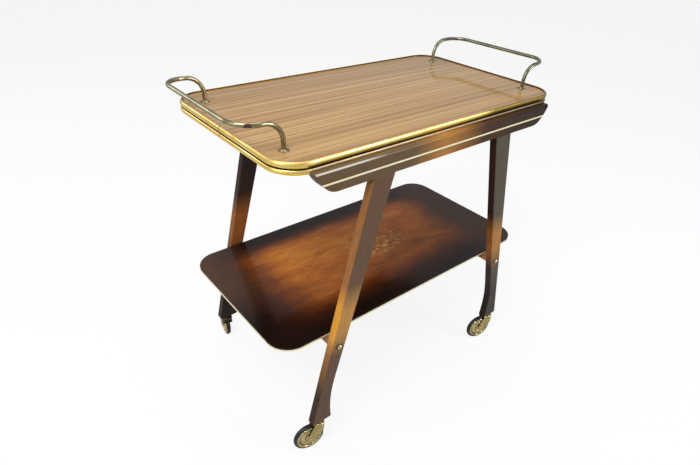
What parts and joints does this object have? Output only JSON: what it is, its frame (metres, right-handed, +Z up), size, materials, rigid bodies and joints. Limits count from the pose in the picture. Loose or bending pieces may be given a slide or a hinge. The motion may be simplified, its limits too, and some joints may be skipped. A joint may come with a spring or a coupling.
{
  "type": "tea trolley",
  "caption": "Tea trolley with a laminated top in a metal edging, bow-ended side rails, splayed wooden legs, a lower shelf, bent brass carrying handles and swivel castors.",
  "frame": {"origin": "on the floor, under the middle of the overall box", "axes": "+X along the length to the right-hand handle, +Y towards the back, +Z up"},
  "size_m": [0.8032, 0.4842, 0.7373],
  "materials": {
    "laminate": "satin teak-grained laminate",
    "core": "plain blockboard",
    "shelf_veneer": "polished walnut with darkened edges",
    "leg_wood": "polished, shaded darker at both ends",
    "rail_wood": "polished dark walnut",
    "frame_wood": "plain varnished hardwood",
    "beech": "plain beech",
    "brass": "polished, lightly aged",
    "handle_brass": "aged brass plating",
    "castor_brass": "pressed and polished brass",
    "steel": "plain",
    "black_strip": "smooth black plastic",
    "tyre": "smooth black rubber"
  },
  "bodies": {
    "frame": {"batten_screws": "steel", "castor_socket_back_left": "castor_brass", "castor_socket_back_right": "castor_brass", "castor_socket_front_left": "castor_brass", "castor_socket_front_right": "castor_brass", "cross_rail_dowels": "beech", "cross_rail_left": "frame_wood", "cross_rail_right": "frame_wood", "edging_nails": "steel", "handle_flanges": "handle_brass", "handle_left": "handle_brass", "handle_right": "handle_brass", "handle_screws": "steel", "handle_washers": "steel", "leg_back_left": "leg_wood", "leg_back_right": "leg_wood", "leg_dowels": "beech", "leg_front_left": "leg_wood", "leg_front_right": "leg_wood", "panel_screws": "steel", "rail_back": "rail_wood", "rail_front": "rail_wood", "rail_inlay_back": "brass", "rail_inlay_front": "brass", "shelf_barrel_nuts": "steel", "shelf_batten_left": "frame_wood", "shelf_batten_right": "frame_wood", "shelf_board": "shelf_veneer", "shelf_bolt_washers": "brass", "shelf_bolts": "brass", "shelf_edging": "brass", "top_core": "core", "top_edging_back": "brass", "top_edging_front": "brass", "top_edging_inlay_back": "black_strip", "top_edging_inlay_front": "black_strip", "top_laminate": "laminate"},
    "castor_front_left_swivel": {"castor_fork_front_left": "castor_brass", "castor_stem_front_left": "steel", "castor_axle_front_left": "steel"},
    "castor_front_left_wheel": {"castor_wheel_front_left": "castor_brass", "castor_tyre_front_left": "tyre"},
    "castor_front_right_swivel": {"castor_fork_front_right": "castor_brass", "castor_stem_front_right": "steel", "castor_axle_front_right": "steel"},
    "castor_front_right_wheel": {"castor_wheel_front_right": "castor_brass", "castor_tyre_front_right": "tyre"},
    "castor_back_left_swivel": {"castor_fork_back_left": "castor_brass", "castor_stem_back_left": "steel", "castor_axle_back_left": "steel"},
    "castor_back_left_wheel": {"castor_wheel_back_left": "castor_brass", "castor_tyre_back_left": "tyre"},
    "castor_back_right_swivel": {"castor_fork_back_right": "castor_brass", "castor_stem_back_right": "steel", "castor_axle_back_right": "steel"},
    "castor_back_right_wheel": {"castor_wheel_back_right": "castor_brass", "castor_tyre_back_right": "tyre"}
  },
  "joints": [
    {"name": "castor_front_left_swivel", "type": "hinge", "parent": "frame", "child": "castor_front_left_swivel", "pos_m": [-0.28984, -0.2275, 0.0755], "axis": [0, 0, 1], "continuous": true},
    {"name": "castor_front_left_roll", "type": "hinge", "parent": "castor_front_left_swivel", "child": "castor_front_left_wheel", "pos_m": [-0.31242, -0.22311, 0.035], "axis": [-0.1908, -0.9816, 0], "continuous": true},
    {"name": "castor_front_right_swivel", "type": "hinge", "parent": "frame", "child": "castor_front_right_swivel", "pos_m": [0.28984, -0.2275, 0.0755], "axis": [0, 0, 1], "continuous": true},
    {"name": "castor_front_right_roll", "type": "hinge", "parent": "castor_front_right_swivel", "child": "castor_front_right_wheel", "pos_m": [0.26762, -0.22155, 0.035], "axis": [-0.2588, -0.9659, 0], "continuous": true},
    {"name": "castor_back_left_swivel", "type": "hinge", "parent": "frame", "child": "castor_back_left_swivel", "pos_m": [-0.28984, 0.1849, 0.0755], "axis": [0, 0, 1], "continuous": true},
    {"name": "castor_back_left_roll", "type": "hinge", "parent": "castor_back_left_swivel", "child": "castor_back_left_wheel", "pos_m": [-0.28585, 0.20755, 0.035], "axis": [-0.9848, 0.1736, 0], "continuous": true},
    {"name": "castor_back_right_swivel", "type": "hinge", "parent": "frame", "child": "castor_back_right_swivel", "pos_m": [0.28984, 0.1849, 0.0755], "axis": [0, 0, 1], "continuous": true},
    {"name": "castor_back_right_roll", "type": "hinge", "parent": "castor_back_right_swivel", "child": "castor_back_right_wheel", "pos_m": [0.26883, 0.17555, 0.035], "axis": [0.4067, -0.9135, 0], "continuous": true}
  ]
}
